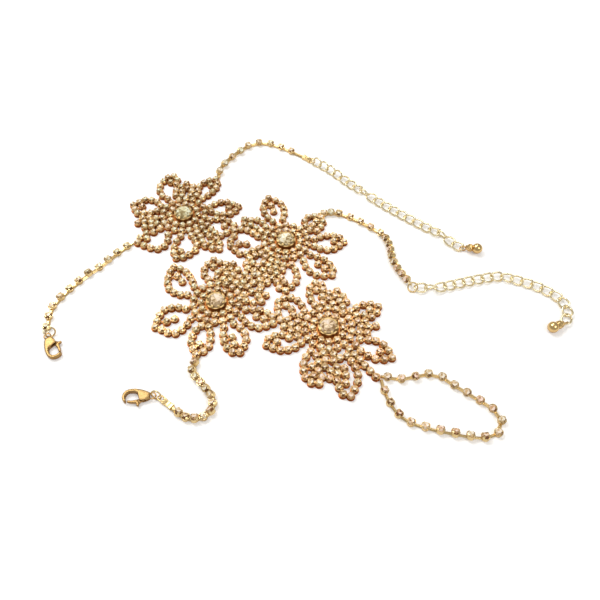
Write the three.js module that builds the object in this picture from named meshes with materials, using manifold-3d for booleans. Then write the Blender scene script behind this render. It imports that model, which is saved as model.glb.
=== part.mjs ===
// A rhinestone hand chain: four flowers of cup-set stones, a finger loop, and two pairs of chains
// that fasten round the wrist and the forearm. It lies open on a flat surface. Millimetres, +Z up,
// with the flowers' backs at z = 0.
import * as THREE from "three";
import { mergeVertices } from "three/addons/utils/BufferGeometryUtils.js";
import Module from "manifold-3d";

const wasm = await Module();
wasm.setup();

// ---------------------------------------------------------------- driving dimensions

const CUP_RADIUS = 1.55; // one small cup setting
const PAVE_HEIGHT = 2.5; // a small cup with its stone
const POST_SIDES = 12; // small round parts of the clasps
const BODY_CENTRE = [3.69, 17.42]; // middle of the whole piece's outline, in the layout's own coordinates

const HUB = {
  radius: 11.85, // outside the second ring of cups
  settingRadius: 4.2,
  settingTop: 3.3,
  pocketRadius: 3.6,
  pocketFloor: 0.9,
  sides: 24,
};

const CENTRE_STONE = {
  girdleRadius: 3.25,
  culet: 1.25,
  girdleLow: 2.7,
  girdleHigh: 3.2,
  tableRadius: 2.0,
  top: 4.3,
  sides: 16,
};

const CHAIN = { radius: 1.45, step: 3.4, sides: 8 };
const LINK = {
  length: 5.9,
  width: 4.2,
  wire: 0.8,
  pitch: 4.2, // between links that are joined in one solid
  openPitch: 3.75, // between two such solids, whose links hang in each other
  roll: 45,
  sides: 6,
  steps: 10,
};

// ---------------------------------------------------------------- materials

const gold = { color: 0xd9a85c, roughness: 0.28, metalness: 1.0 };
const crystal = { color: 0xf3d9bd, roughness: 0.05, metalness: 0.0 };

// ---------------------------------------------------------------- layout
// Angles are in degrees from +X, turning towards +Y. A petal leaves the hub at root, ends at tip, and
// reaches that far from the flower's centre. left and right scale the breadth of its two sides, as seen
// from the hub, and a solid petal has no opening.

const FLOWERS = [
  {
    name: "forearm",
    centre: [-52.1, 46.7],
    petals: [
      { root: 16, tip: 10, reach: 26, left: 1.1, right: 1 },
      { root: 62, tip: 59, reach: 27.8, left: 1.15, right: 0.9 },
      { root: 90, tip: 92, reach: 20.5, left: 0.7, right: 0.6, solid: true },
      { root: 120, tip: 107, reach: 28.5, left: 1.6, right: 1 },
      { root: 160, tip: 167, reach: 25.7, left: 1.3, right: 1.2 },
      { root: 200, tip: 191, reach: 21.2, left: 0.9, right: 0.8, solid: true },
      { root: 226, tip: 220, reach: 26.2, left: 2.5, right: 0.7 },
      { root: 277, tip: 269, reach: 27, left: 1.9, right: 0.9 },
      { root: 313, tip: 311, reach: 27.5, left: 0.9, right: 0.9, solid: true },
      { root: 341, tip: 342, reach: 25.2, left: 0.8, right: 1.9 },
    ],
  },
  {
    name: "wrist_right",
    centre: [-6.1, 31.2],
    petals: [
      { root: -2, tip: 2, reach: 27, left: 1, right: 1.3 },
      { root: 36, tip: 42, reach: 21.8, left: 1.3, right: 0.9, solid: true },
      { root: 108, tip: 108, reach: 29.3, left: 1.2, right: 1.4 },
      { root: 148, tip: 153, reach: 23.8, left: 0.2, right: 1.3, solid: true },
      { root: 186, tip: 182, reach: 25.9, left: 1.6, right: 2.6 },
      { root: 221, tip: 225, reach: 23, left: 1.2, right: 1.1 },
      { root: 247, tip: 247, reach: 27, left: 0.8, right: 0.8, solid: true },
      { root: 270, tip: 268, reach: 28.6, left: 1.5, right: 1 },
      { root: 317, tip: 319, reach: 29, left: 1, right: 1.5 },
    ],
  },
  {
    name: "wrist_left",
    centre: [-34, -1.1],
    petals: [
      { root: 12, tip: 10, reach: 21.5, left: 0.9, right: 0.9, solid: true },
      { root: 43, tip: 44, reach: 20, left: 0.9, right: 0.9, solid: true },
      { root: 72, tip: 76, reach: 21.8, left: 0.8, right: 0.8, solid: true },
      { root: 102, tip: 96, reach: 23.5, left: 1.1, right: 1.4 },
      { root: 151, tip: 137, reach: 28.5, left: 1.75, right: 1.2 },
      { root: 206, tip: 206, reach: 27.5, left: 1.8, right: 1.6 },
      { root: 252, tip: 258, reach: 26.3, left: 1, right: 1 },
      { root: 296, tip: 292, reach: 28, left: 1.5, right: 1 },
      { root: 337, tip: 339, reach: 27.4, left: 0.9, right: 1.4 },
    ],
  },
  {
    name: "knuckle",
    centre: [11.2, -13.5],
    petals: [
      { root: 3, tip: 3, reach: 17.6, left: 0.8, right: 0.8, solid: true },
      { root: 32, tip: 26, reach: 24.6, left: 0.9, right: 1 },
      { root: 73, tip: 79, reach: 18.2, left: 0.8, right: 0.7, solid: true },
      { root: 107, tip: 100, reach: 24.5, left: 0.95, right: 0.9 },
      { root: 151, tip: 144, reach: 25.7, left: 1.7, right: 1.4 },
      { root: 176, tip: 172, reach: 17, left: 0.8, right: 0.8, solid: true },
      { root: 205, tip: 194, reach: 27.5, left: 1.1, right: 1 },
      { root: 246, tip: 259, reach: 27.4, left: 1, right: 1.3 },
      { root: 269, tip: 271, reach: 22, left: 0.6, right: 0.6, solid: true },
      { root: 288, tip: 281, reach: 33.5, left: 1.5, right: 0.9 },
      { root: 332, tip: 331, reach: 29.5, left: 1.1, right: 1.1 },
    ],
    stem: { angle: 309, start: 10, reach: 29.25 },
  },
];

// The line of cups on one side of a petal's middle line, for a petal of the nominal reach.
const NOMINAL_REACH = 26;
const PETAL_START = 10;
const PETAL_ROW = [
  { out: 9, half: 1.4 },
  { out: 12.3, half: 1.7 },
  { out: 15.1, half: 3.1 },
  { out: 18.2, half: 3.6 },
  { out: 20.4, half: 3.2 },
  { out: 22.4, half: 2 },
];
const PETAL_TIP = [
  { out: 24.9, edge: 1.3 },
  { out: 26, edge: 0.5 },
];
const OPENING = { start: 13.2, end: 18.9, edge: 0.5 };

// Cup chains as they lie: the middle line in plan.
const CUP_CHAINS = [
  {
    name: "forearm_clasp_chain",
    route: [
      [-73.1, 30.3], [-79, 24.6], [-84.4, 17.8], [-90.1, 12.4], [-96.6, 3.6], [-100.4, -3],
      [-100.2, -15.2],
    ],
  },
  {
    name: "forearm_extender_chain",
    route: [
      [-38.1, 71.4], [-37.6, 76], [-33.6, 82.6], [-28.8, 88.2], [-23.6, 93.2], [-16.6, 94.2],
      [-8.6, 90.8], [1.25, 84.95],
    ],
  },
  {
    name: "wrist_clasp_chain",
    route: [
      [-39.6, -27.2], [-40.8, -32.6], [-36, -38.8], [-32.4, -44], [-32.3, -49], [-36.6, -52],
      [-42, -51.4], [-46.35, -47.9],
    ],
  },
  {
    name: "wrist_extender_chain",
    route: [
      [9, 47.7], [15.6, 48], [21.6, 46], [28.8, 41.2], [36, 35.2], [38.6, 28.8], [39.4, 21],
      [41.4, 15.6], [45.5, 8.5],
    ],
  },
  {
    name: "finger_loop",
    route: [
      [31.2, -34.9], [36.4, -35.9], [41.6, -35.6], [47, -33.9], [52, -34.4], [59.8, -40.4],
      [68.4, -46.6], [72.8, -52], [71, -57.4], [65, -59.4], [57.4, -58.2], [47.2, -55.9],
      [38, -52.4], [33.6, -46.6], [31.1, -39.4], [30.7, -37.1],
    ],
  },
];

// Extender chains as they lie: links are set along the route, group by group, and a drop hangs on the last.
const EXTENDERS = [
  {
    name: "forearm_extender",
    groups: [6, 7, 7],
    route: [
      [5.8, 81.4], [13.4, 75.4], [22, 67.4], [31, 58.8], [41.5, 49.9], [51.4, 42.3], [58.6, 37.2],
      [62.6, 34], [65.6, 30.6], [69.2, 28], [74.5, 26.9],
    ],
    drop: { name: "forearm_drop", heading: 352 },
  },
  {
    name: "wrist_extender",
    groups: [6, 6, 6],
    route: [
      [46.8, 6.2], [56, 6], [64.4, 8], [74.8, 10.6], [83.8, 12], [92.7, 9.2], [101, 5],
      [106.8, -0.6], [107.6, -6.6], [104.6, -11.6], [100.6, -14],
    ],
    drop: { name: "wrist_drop", heading: 203 },
  },
];

// Jump rings: middle, and the way the ring faces. heading is the level line in its plane, roll its lean.
const RING = { size: 4.6, wire: 0.6, steps: 12 };
const JUMP_RINGS = [
  { name: "forearm_clasp_ring", middle: [-97.93, -16.05, 2.21], heading: 38, roll: 70 },
  { name: "wrist_clasp_ring", middle: [-52.9, -43.34, 2.21], heading: 340, roll: 70 },
  { name: "wrist_extender_ring", middle: [46.5, 6.2, 1.74], heading: 355, roll: 45 },
];

// The crimped end of a cup chain: a folded plate with a loop.
const CRIMP = {
  length: 4.4,
  width: 2.6,
  height: 1.8,
  loopLength: 3.4,
  loopWidth: 2.6,
  loopHeight: 1.5,
  wire: 0.6,
};
const CRIMPS = [
  { name: "forearm_extender_connector", start: [1.6, 84.7], heading: 322, loopRoll: 45 },
  { name: "wrist_clasp_connector", start: [-46.7, -47.6], heading: 143, loopRoll: 0 },
];

// Lobster clasps. x runs from the eye's middle to the hook's end, +y is the lever's side, z is up.
const CLASP = {
  thickness: 2.2,
  eye: { radius: 1.6, hole: 1, low: 1.1, high: 1.7 },
  slot: { low: 0.5, high: 1.7, outline: [[2.3, 0], [6, 0], [6, 4], [2.3, 4]] },
  pivot: [3.6, 1.2],
  rivetRadius: 0.35,
};
const CLASP_OUTLINE = [
  [0.9, -1.1], [2.2, -1.8], [4, -2.4], [6.4, -2.8], [8.6, -2.7], [10.1, -2], [10.9, -0.8], [11.1, 0.6],
  [10.7, 1.9], [9.8, 2.8], [9.5, 1.8], [9.9, 1.1], [10, 0.2], [9.6, -0.8], [8.6, -1.5], [6.6, -1.5],
  [5.6, -1], [5.2, 0.2], [4.6, 1.9], [3.3, 2.2], [2, 1.8], [0.9, 1.1],
];
const LEVER = {
  hubRadius: 0.95,
  bore: 0.6,
  low: 0.75,
  high: 1.45,
  armLow: 0.4,
  armHigh: 1.8,
};
const LEVER_TAIL = [[3.6, 0.4], [5.7, 1.5], [5.7, 2.7], [5.2, 3.2], [4.4, 3.2], [3.4, 2.1]];
const LEVER_ARM = [
  [5.6, 1.5], [7.4, 1.9], [9, 1.7], [9.1, 2.6], [7.4, 2.9], [5.6, 2.9], [5.4, 4.1], [4.5, 4.1], [4.6, 3],
];
const CLASPS = [
  { name: "forearm_clasp", eye: [-99, -17.3], heading: 299 },
  { name: "wrist_clasp", eye: [-54.5, -43.1], heading: 181 },
];

// A drop, turned about its own axis: a loop, a cap and a ball. The profile starts where the loop
// enters the cap.
const DROP = { ball: 2.3, loopLength: 3.2, loopWidth: 2.6, wire: 0.6, pitch: 2.6, sides: 14 };
const DROP_PROFILE = [
  { along: 0, radius: 0 },
  { along: 0, radius: 1 },
  { along: 0.9, radius: 1.5 },
  { along: 2.4, radius: 1.8 },
  { along: 3, radius: 1.3 },
  { along: 3.9, radius: 2.18 },
  { along: 4.9, radius: 2.3 },
  { along: 6.3, radius: 1.84 },
  { along: 7, radius: 0.92 },
  { along: 7.1, radius: 0 },
];

// ---------------------------------------------------------------- solids

// A three.js geometry as a manifold-3d solid.
function solidOf(geometry) {
  const bare = geometry.clone();
  bare.deleteAttribute("normal");
  bare.deleteAttribute("uv");
  const merged = mergeVertices(bare, 1e-4);
  const vertProperties = merged.getAttribute("position").array;
  const triVerts = new Uint32Array(merged.index.array);
  return new wasm.Manifold(new wasm.Mesh({ numProp: 3, vertProperties, triVerts }));
}

// A manifold-3d solid as a three.js geometry with flat faces.
function geometryOf(solid) {
  const mesh = solid.getMesh();
  const shared = new THREE.BufferGeometry();
  shared.setAttribute("position", new THREE.BufferAttribute(mesh.vertProperties, 3));
  shared.setIndex(new THREE.BufferAttribute(mesh.triVerts, 1));
  const flat = shared.toNonIndexed();
  flat.computeVertexNormals();
  return flat;
}

function joined(geometries) {
  return geometries.map(solidOf).reduce((whole, piece) => whole.add(piece));
}

const group = new THREE.Group();

function addPiece(name, geometry, look) {
  const mesh = new THREE.Mesh(geometry, new THREE.MeshStandardMaterial(look));
  mesh.name = name;
  group.add(mesh);
  return mesh;
}

// An upright plate: a flat outline given thickness from z = low to z = high.
function plate(outline, low, high, holes = []) {
  const shape = new THREE.Shape(outline.map(([x, y]) => new THREE.Vector2(x, y)));
  holes.forEach((hole) => shape.holes.push(new THREE.Path(hole.map(([x, y]) => new THREE.Vector2(x, y)))));
  const geometry = new THREE.ExtrudeGeometry(shape, { depth: high - low, bevelEnabled: false });
  return geometry.translate(0, 0, low);
}

// An upright cylinder from z = low to z = high.
function post(radius, low, high, x = 0, y = 0) {
  return new THREE.CylinderGeometry(radius, radius, high - low, POST_SIDES)
    .rotateX(Math.PI / 2)
    .translate(x, y, (low + high) / 2);
}

// A turned piece on the Z axis from a profile of [radius, height] corners that starts and ends on the axis.
function turned(profile, sides) {
  const corners = profile.map(([radius, height]) => new THREE.Vector2(radius, height));
  return new THREE.LatheGeometry(corners, sides).rotateX(Math.PI / 2);
}

const radians = THREE.MathUtils.degToRad;

// ---------------------------------------------------------------- flowers

// The place of a point of a petal: out along its bent middle line, and across it.
function onPetal(petal, out, across) {
  const stretch = (petal.reach - PETAL_START) / (NOMINAL_REACH - PETAL_START);
  const distance = out <= PETAL_START ? out : PETAL_START + (out - PETAL_START) * stretch;
  const share = THREE.MathUtils.clamp((distance - PETAL_START) / (petal.reach - PETAL_START), 0, 1);
  const angle = radians(THREE.MathUtils.lerp(petal.root, petal.tip, share));
  return [
    distance * Math.cos(angle) - across * Math.sin(angle),
    distance * Math.sin(angle) + across * Math.cos(angle),
  ];
}

// A closed outline that walks out on the petal's right side and back on its left. edgeAt gives the
// distance across for one corner and one side's breadth.
function petalOutline(petal, corners, edgeAt) {
  const right = corners.map((corner) => onPetal(petal, corner.out, -edgeAt(corner, petal.right)));
  const left = corners.map((corner) => onPetal(petal, corner.out, edgeAt(corner, petal.left)));
  return [...right, ...left.reverse()];
}

// The plate reaches a cup's radius past the line of cups, and the opening stops as far inside it.
function petalPlate(petal) {
  const outside = petalOutline(
    petal,
    [...PETAL_ROW, ...PETAL_TIP],
    ({ half, edge }, side) => edge ?? half * side + CUP_RADIUS,
  );
  if (petal.solid) return plate(outside, 0, PAVE_HEIGHT);
  const { start, end, edge: least } = OPENING;
  const beside = PETAL_ROW.filter(({ out }) => out > start && out < end);
  const opening = petalOutline(
    petal,
    [{ out: start, edge: least }, ...beside, { out: end, edge: least }],
    ({ half, edge }, side) => edge ?? Math.max(half * side - CUP_RADIUS, least),
  );
  return plate(outside, 0, PAVE_HEIGHT, [opening]);
}

// A single row of cups that leads out from the hub.
function stemOutline({ angle, start, reach }) {
  const along = new THREE.Vector2(Math.cos(radians(angle)), Math.sin(radians(angle)));
  const corners = [
    [start, -CUP_RADIUS],
    [reach, -CUP_RADIUS],
    [reach, CUP_RADIUS],
    [start, CUP_RADIUS],
  ];
  return corners.map(([out, across]) => [
    out * along.x - across * along.y,
    out * along.y + across * along.x,
  ]);
}

function flowerGeometry(flower) {
  const { radius, settingRadius, settingTop, pocketRadius, pocketFloor, sides } = HUB;
  const hub = turned(
    [
      [0, 0],
      [radius, 0],
      [radius, PAVE_HEIGHT],
      [settingRadius, PAVE_HEIGHT],
      [settingRadius, settingTop],
      [pocketRadius, settingTop],
      [pocketRadius, pocketFloor],
      [0, pocketFloor],
    ],
    sides,
  );
  const petals = flower.petals.map(petalPlate);
  const stems = flower.stem ? [plate(stemOutline(flower.stem), 0, PAVE_HEIGHT)] : [];
  return geometryOf(joined([hub, ...petals, ...stems]));
}

function centreStoneGeometry() {
  const { girdleRadius, culet, girdleLow, girdleHigh, tableRadius, top, sides } = CENTRE_STONE;
  const profile = [
    [0, culet],
    [girdleRadius, girdleLow],
    [girdleRadius, girdleHigh],
    [tableRadius, top],
    [0, top],
  ];
  return turned(profile, sides);
}

for (const flower of FLOWERS) {
  const [x, y] = flower.centre;
  addPiece(`flower_${flower.name}`, flowerGeometry(flower), gold).position.set(x, y, 0);
  addPiece(`centre_stone_${flower.name}`, centreStoneGeometry(), crystal).position.set(x, y, 0);
}

// ---------------------------------------------------------------- cup chains

function curveOf(route, height) {
  return new THREE.CatmullRomCurve3(
    route.map(([x, y]) => new THREE.Vector3(x, y, height)),
    false,
    "centripetal",
  );
}

function roundSection(radius, sides) {
  const corners = Array.from({ length: sides }, (_, i) => (2 * Math.PI * (i + 0.5)) / sides);
  return new THREE.Shape(corners.map((a) => new THREE.Vector2(radius * Math.cos(a), radius * Math.sin(a))));
}

for (const { name, route } of CUP_CHAINS) {
  const path = curveOf(route, CHAIN.radius);
  const steps = Math.round(path.getLength() / CHAIN.step);
  const section = roundSection(CHAIN.radius, CHAIN.sides);
  const tube = new THREE.ExtrudeGeometry(section, { steps, extrudePath: path, bevelEnabled: false });
  addPiece(name, tube, gold);
}

// ---------------------------------------------------------------- links and rings

// An oval link in the XY plane, long along X: a torus pulled apart at its middle.
function linkGeometry(length, width, wire, steps = LINK.steps) {
  const ring = new THREE.TorusGeometry((width - wire) / 2, wire / 2, LINK.sides, steps);
  ring.rotateZ(Math.PI / steps);
  const places = ring.getAttribute("position");
  for (let i = 0; i < places.count; i += 1) {
    const x = places.getX(i);
    places.setX(i, x + (Math.sign(x) * (length - width)) / 2);
  }
  return ring;
}

const linkHeight = ((LINK.width - LINK.wire) / 2) * Math.sin(radians(LINK.roll)) + LINK.wire / 2;

// A link turned to its lean and heading, with its middle at the given place.
function placedLink(geometry, roll, heading, [x, y, z]) {
  return geometry.rotateX(radians(roll)).rotateZ(radians(heading)).translate(x, y, z);
}

// A group of links that hang in each other, from a distance along the path. The leans alternate.
function linkGroup(path, start, size, firstIndex) {
  const links = Array.from({ length: size }, (_, i) => {
    const share = (start + i * LINK.pitch) / path.getLength();
    const heading = path.getTangentAt(share);
    const roll = (firstIndex + i) % 2 ? LINK.roll : -LINK.roll;
    const link = linkGeometry(LINK.length, LINK.width, LINK.wire);
    const degrees = THREE.MathUtils.radToDeg(Math.atan2(heading.y, heading.x));
    return placedLink(link, roll, degrees, path.getPointAt(share).toArray());
  });
  return geometryOf(joined(links));
}

// The drop's axis is the ball's, and its loop hangs at the height of the links.
function dropGeometry(loopRoll) {
  const { ball, loopLength, loopWidth, wire, sides } = DROP;
  const capStart = loopLength / 2 - wire;
  const profile = DROP_PROFILE.map(({ along, radius }) => [radius, capStart + along]);
  const body = turned(profile, sides).rotateY(Math.PI / 2);
  const loop = placedLink(linkGeometry(loopLength, loopWidth, wire), loopRoll, 0, [0, 0, linkHeight - ball]);
  return geometryOf(joined([body, loop]));
}

for (const { name, route, groups, drop } of EXTENDERS) {
  const path = curveOf(route, linkHeight);
  let along = LINK.length / 2;
  let index = 0;
  groups.forEach((size, i) => {
    addPiece(`${name}_links_${i + 1}`, linkGroup(path, along, size, index), gold);
    index += size;
    along += (size - 1) * LINK.pitch + LINK.openPitch;
  });
  const lastLink = (along - LINK.openPitch) / path.getLength();
  const hang = path.getPointAt(lastLink).addScaledVector(path.getTangentAt(lastLink), DROP.pitch);
  const ballDrop = addPiece(drop.name, dropGeometry(index % 2 ? LINK.roll : -LINK.roll), gold);
  ballDrop.position.set(hang.x, hang.y, DROP.ball);
  ballDrop.rotation.z = radians(drop.heading);
}

for (const { name, middle, heading, roll } of JUMP_RINGS) {
  const ring = linkGeometry(RING.size, RING.size, RING.wire, RING.steps);
  addPiece(name, placedLink(ring, roll, heading, middle), gold);
}

for (const { name, start, heading, loopRoll } of CRIMPS) {
  const { length, width, height, loopLength, loopWidth, loopHeight, wire } = CRIMP;
  const fold = new THREE.BoxGeometry(length, width, height).translate(length / 2, 0, height / 2);
  const loop = placedLink(linkGeometry(loopLength, loopWidth, wire), loopRoll, 0, [
    length + loopLength / 2 - wire,
    0,
    loopHeight,
  ]);
  const crimp = addPiece(name, geometryOf(joined([fold, loop])), gold);
  crimp.position.set(start[0], start[1], 0);
  crimp.rotation.z = radians(heading);
}

// ---------------------------------------------------------------- clasps

function claspBodyGeometry() {
  const { thickness, eye, slot, pivot, rivetRadius } = CLASP;
  const body = solidOf(plate(CLASP_OUTLINE, 0, thickness));
  const eyeRing = solidOf(post(eye.radius, eye.low, eye.high));
  const eyeHole = solidOf(post(eye.hole, 0, thickness));
  const slotCut = solidOf(plate(slot.outline, slot.low, slot.high));
  const rivet = solidOf(post(rivetRadius, 0, thickness, ...pivot));
  return geometryOf(body.add(eyeRing).subtract(eyeHole).subtract(slotCut).add(rivet));
}

function claspLeverGeometry() {
  const { hubRadius, bore, low, high, armLow, armHigh } = LEVER;
  const hub = solidOf(post(hubRadius, low, high, ...CLASP.pivot));
  const tail = solidOf(plate(LEVER_TAIL, low, high));
  const arm = solidOf(plate(LEVER_ARM, armLow, armHigh));
  const hole = solidOf(post(bore, 0, CLASP.thickness, ...CLASP.pivot));
  return geometryOf(hub.add(tail).subtract(hole).add(arm));
}

for (const { name, eye, heading } of CLASPS) {
  const clasp = new THREE.Group();
  clasp.position.set(eye[0], eye[1], 0);
  clasp.rotation.z = radians(heading);
  clasp.add(addPiece(`${name}_body`, claspBodyGeometry(), gold));
  clasp.add(addPiece(`${name}_lever`, claspLeverGeometry(), gold));
  group.add(clasp);
}

group.position.set(-BODY_CENTRE[0], -BODY_CENTRE[1], 0);

export default group;
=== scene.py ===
"""Rhinestone hand chain: cup-set stones, chains, clasps and drops, built over its fixed frame."""

import math
import random
from bisect import bisect_right
from collections import namedtuple

import bmesh
import bpy
from bpy.props import FloatProperty, FloatVectorProperty, IntProperty, PointerProperty
from mathutils import Matrix, Vector


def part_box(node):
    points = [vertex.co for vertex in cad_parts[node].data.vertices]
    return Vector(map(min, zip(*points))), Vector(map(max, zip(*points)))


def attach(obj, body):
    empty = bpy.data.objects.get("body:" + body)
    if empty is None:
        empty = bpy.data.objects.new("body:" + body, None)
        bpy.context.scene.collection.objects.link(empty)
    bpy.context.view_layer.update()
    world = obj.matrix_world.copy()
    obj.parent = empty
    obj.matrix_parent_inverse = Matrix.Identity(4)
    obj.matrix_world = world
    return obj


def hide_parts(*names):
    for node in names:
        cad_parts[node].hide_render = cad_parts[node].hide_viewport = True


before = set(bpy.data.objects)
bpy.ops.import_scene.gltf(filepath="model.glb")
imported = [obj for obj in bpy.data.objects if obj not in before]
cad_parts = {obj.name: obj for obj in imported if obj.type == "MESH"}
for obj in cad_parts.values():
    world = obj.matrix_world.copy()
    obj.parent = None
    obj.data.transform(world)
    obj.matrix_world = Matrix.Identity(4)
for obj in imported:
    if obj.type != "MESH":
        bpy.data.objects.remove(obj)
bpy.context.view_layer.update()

bl_info = {
    "name": "Rhinestone Hand Chain",
    "version": (1, 0, 0),
    "blender": (4, 5, 0),
    "location": "3D View > Sidebar > Hand Chain",
    "description": "Builds the settings, stones, chains and fastenings of a rhinestone hand chain",
    "category": "Object",
}

MM = 0.001
ROOT = "bracelet"

# ---- layout
# Millimetres and degrees. Petals are about their flower's centre. All other points lie BODY_CENTRE away
# from the frame's own.

BODY_CENTRE = (3.69, 17.42)

# A petal leaves the hub at root and ends at tip. left and right scale its two sides, as seen from the hub,
# and inner is the number of cups down its middle.
Petal = namedtuple("Petal", "root tip reach left right inner")
FLOWERS = {
    "forearm": [
        Petal(16, 10, 26, 1.1, 1, 1),
        Petal(62, 59, 27.8, 1.15, 0.9, 1),
        Petal(90, 92, 20.5, 0.7, 0.6, 1),
        Petal(120, 107, 28.5, 1.6, 1, 1),
        Petal(160, 167, 25.7, 1.3, 1.2, 1),
        Petal(200, 191, 21.2, 0.9, 0.8, 2),
        Petal(226, 220, 26.2, 2.5, 0.7, 1),
        Petal(277, 269, 27, 1.9, 0.9, 1),
        Petal(313, 311, 27.5, 0.9, 0.9, 1),
        Petal(341, 342, 25.2, 0.8, 1.9, 1),
    ],
    "wrist_right": [
        Petal(-2, 2, 27, 1, 1.3, 1),
        Petal(36, 42, 21.8, 1.3, 0.9, 2),
        Petal(108, 108, 29.3, 1.2, 1.4, 2),
        Petal(148, 153, 23.8, 0.2, 1.3, 0),
        Petal(186, 182, 25.9, 1.6, 2.6, 2),
        Petal(221, 225, 23, 1.2, 1.1, 1),
        Petal(247, 247, 27, 0.8, 0.8, 2),
        Petal(270, 268, 28.6, 1.5, 1, 1),
        Petal(317, 319, 29, 1, 1.5, 2),
    ],
    "wrist_left": [
        Petal(12, 10, 21.5, 0.9, 0.9, 1),
        Petal(43, 44, 20, 0.9, 0.9, 2),
        Petal(72, 76, 21.8, 0.8, 0.8, 1),
        Petal(102, 96, 23.5, 1.1, 1.4, 1),
        Petal(151, 137, 28.5, 1.75, 1.2, 2),
        Petal(206, 206, 27.5, 1.8, 1.6, 2),
        Petal(252, 258, 26.3, 1, 1, 1),
        Petal(296, 292, 28, 1.5, 1, 2),
        Petal(337, 339, 27.4, 0.9, 1.4, 2),
    ],
    "knuckle": [
        Petal(3, 3, 17.6, 0.8, 0.8, 2),
        Petal(32, 26, 24.6, 0.9, 1, 1),
        Petal(73, 79, 18.2, 0.8, 0.7, 2),
        Petal(107, 100, 24.5, 0.95, 0.9, 1),
        Petal(151, 144, 25.7, 1.7, 1.4, 2),
        Petal(176, 172, 17, 0.8, 0.8, 1),
        Petal(205, 194, 27.5, 1.1, 1, 1),
        Petal(246, 259, 27.4, 1, 1.3, 2),
        Petal(269, 271, 22, 0.6, 0.6, 1),
        Petal(288, 281, 33.5, 1.5, 0.9, 2),
        Petal(332, 331, 29.5, 1.1, 1.1, 1),
    ],
}
NOMINAL_REACH = 26
PETAL_START = 10
# One side of the line of cups round a petal of the nominal reach: distance out, distance across.
PETAL_ROW = [(12.3, 1.7), (15.1, 3.1), (18.2, 3.6), (20.4, 3.2), (22.4, 2), (24.4, 0)]
PETAL_MIDDLE = 20.3
MIDDLE_PITCH = 3.1
# Rings of cups round the centre setting: radius, cups, and the first cup's angle in steps.
RINGS = ((6.3, 12, 0), (9.5, 18, 0.5))
STEM = ("knuckle", 309, (12.6, 15.6, 18.6, 21.6, 24.6, 27.7))
CUP_PITCH = 3.05
LEAST_PITCH = 2.95
# Two cups of a flower are strapped together if they are no further apart than this.
STRAP_REACH = 3.9
SEAT_MIDDLE = 4.95  # radius of the disc under the centre setting

# Cups along each chain, from first to last, with how far they roll over on their sides.
Stretch = namedtuple("Stretch", "first last cups roll")
CHAINS = {
    "forearm_clasp_chain": (
        [(-73.1, 30.3), (-79, 24.6), (-84.4, 17.8), (-90.1, 12.4), (-96.6, 3.6), (-100.4, -3),
         (-100.2, -15.2)],
        [Stretch(2.4, 53.2, 11, 8)],
    ),
    "forearm_extender_chain": (
        [(-38.1, 71.4), (-37.6, 76), (-33.6, 82.6), (-28.8, 88.2), (-23.6, 93.2), (-16.6, 94.2),
         (-8.6, 90.8), (1.25, 84.95)],
        [Stretch(2.6, 19.6, 4, 45), Stretch(25, 48, 5, 12)],
    ),
    "wrist_clasp_chain": (
        [(-39.6, -27.2), (-40.8, -32.6), (-36, -38.8), (-32.4, -44), (-32.3, -49), (-36.6, -52),
         (-42, -51.4), (-46.35, -47.9)],
        [Stretch(1.9, 38.6, 12, 20)],
    ),
    "wrist_extender_chain": (
        [(9, 47.7), (15.6, 48), (21.6, 46), (28.8, 41.2), (36, 35.2), (38.6, 28.8), (39.4, 21),
         (41.4, 15.6), (45.5, 8.5)],
        [Stretch(1.8, 5, 2, 10), Stretch(8.6, 29.9, 5, 10), Stretch(33.8, 57.6, 8, 62)],
    ),
    "finger_loop": (
        [(31.2, -34.9), (36.4, -35.9), (41.6, -35.6), (47, -33.9), (52, -34.4), (59.8, -40.4),
         (68.4, -46.6), (72.8, -52), (71, -57.4), (65, -59.4), (57.4, -58.2), (47.2, -55.9),
         (38, -52.4), (33.6, -46.6), (31.1, -39.4), (30.7, -37.1)],
        [Stretch(1.8, 102.8, 20, 14)],
    ),
}
CHAIN_CUP_SCALE = 1.11
# How much stouter than the flowers' straps the chains' straps are, and the finger loop's.
CHAIN_GIRTH = 1.4
FINGER_GIRTH = 1.05
STRAP_LEVEL = 0.5  # a flower's straps above the floor
CHAIN_STRAP_LEVEL = 0.4  # a chain's straps above the foot of their cups
CHAIN_ROLL_SPREAD = 14
# How far each chain's metal runs on past its route's two ends, into what it is fastened to, and how high.
CHAIN_END = 0.9
CHAIN_END_LEVEL = 0.9
# Chains whose last cup carries a small ring of its own, with that ring's lean. The metal stops at the ring.
LOOP_END = -0.9
LOOP_LEVEL = 1.3
END_LOOPS = {"forearm_clasp_chain": -30, "wrist_extender_chain": -45}

# An extender chain: links in each group, its line, the links that lean their own way, and its drop.
Extender = namedtuple("Extender", "groups route leans drop heading")
EXTENDERS = {
    "forearm_extender": Extender(
        (6, 7, 7),
        [(5.8, 81.4), (13.4, 75.4), (22, 67.4), (31, 58.8), (41.5, 49.9), (51.4, 42.3), (58.6, 37.2),
         (62.6, 34), (65.6, 30.6), (69.2, 28), (74.5, 26.9)],
        {0: 55, 1: 55, 2: 55, 3: 45, 6: 2, 7: 106, 16: 2, 17: 106},
        "forearm_drop",
        352,
    ),
    "wrist_extender": Extender(
        (6, 6, 6),
        [(46.8, 6.2), (56, 6), (64.4, 8), (74.8, 10.6), (83.8, 12), (92.7, 9.2), (101, 5),
         (106.8, -0.6), (107.6, -6.6), (104.6, -11.6), (100.6, -14)],
        {1: 106, 9: 2, 16: 2, 17: 2},
        "wrist_drop",
        203,
    ),
}
LINK_START = 2.95
LINK_PITCH = 4.15
LINK_LEAN = 16
LINK_TWIST = 58
LINK_CLEARANCE = 0.03  # below a link's lowest point
LINK_LIFT = 0.85  # least height of a link's middle, to which half of its neighbours' height is added
# From the last link's middle to the drop's loop, and how far that loop leans.
DROP_PITCH = 2.6
DROP_LEAN = 76

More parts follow.
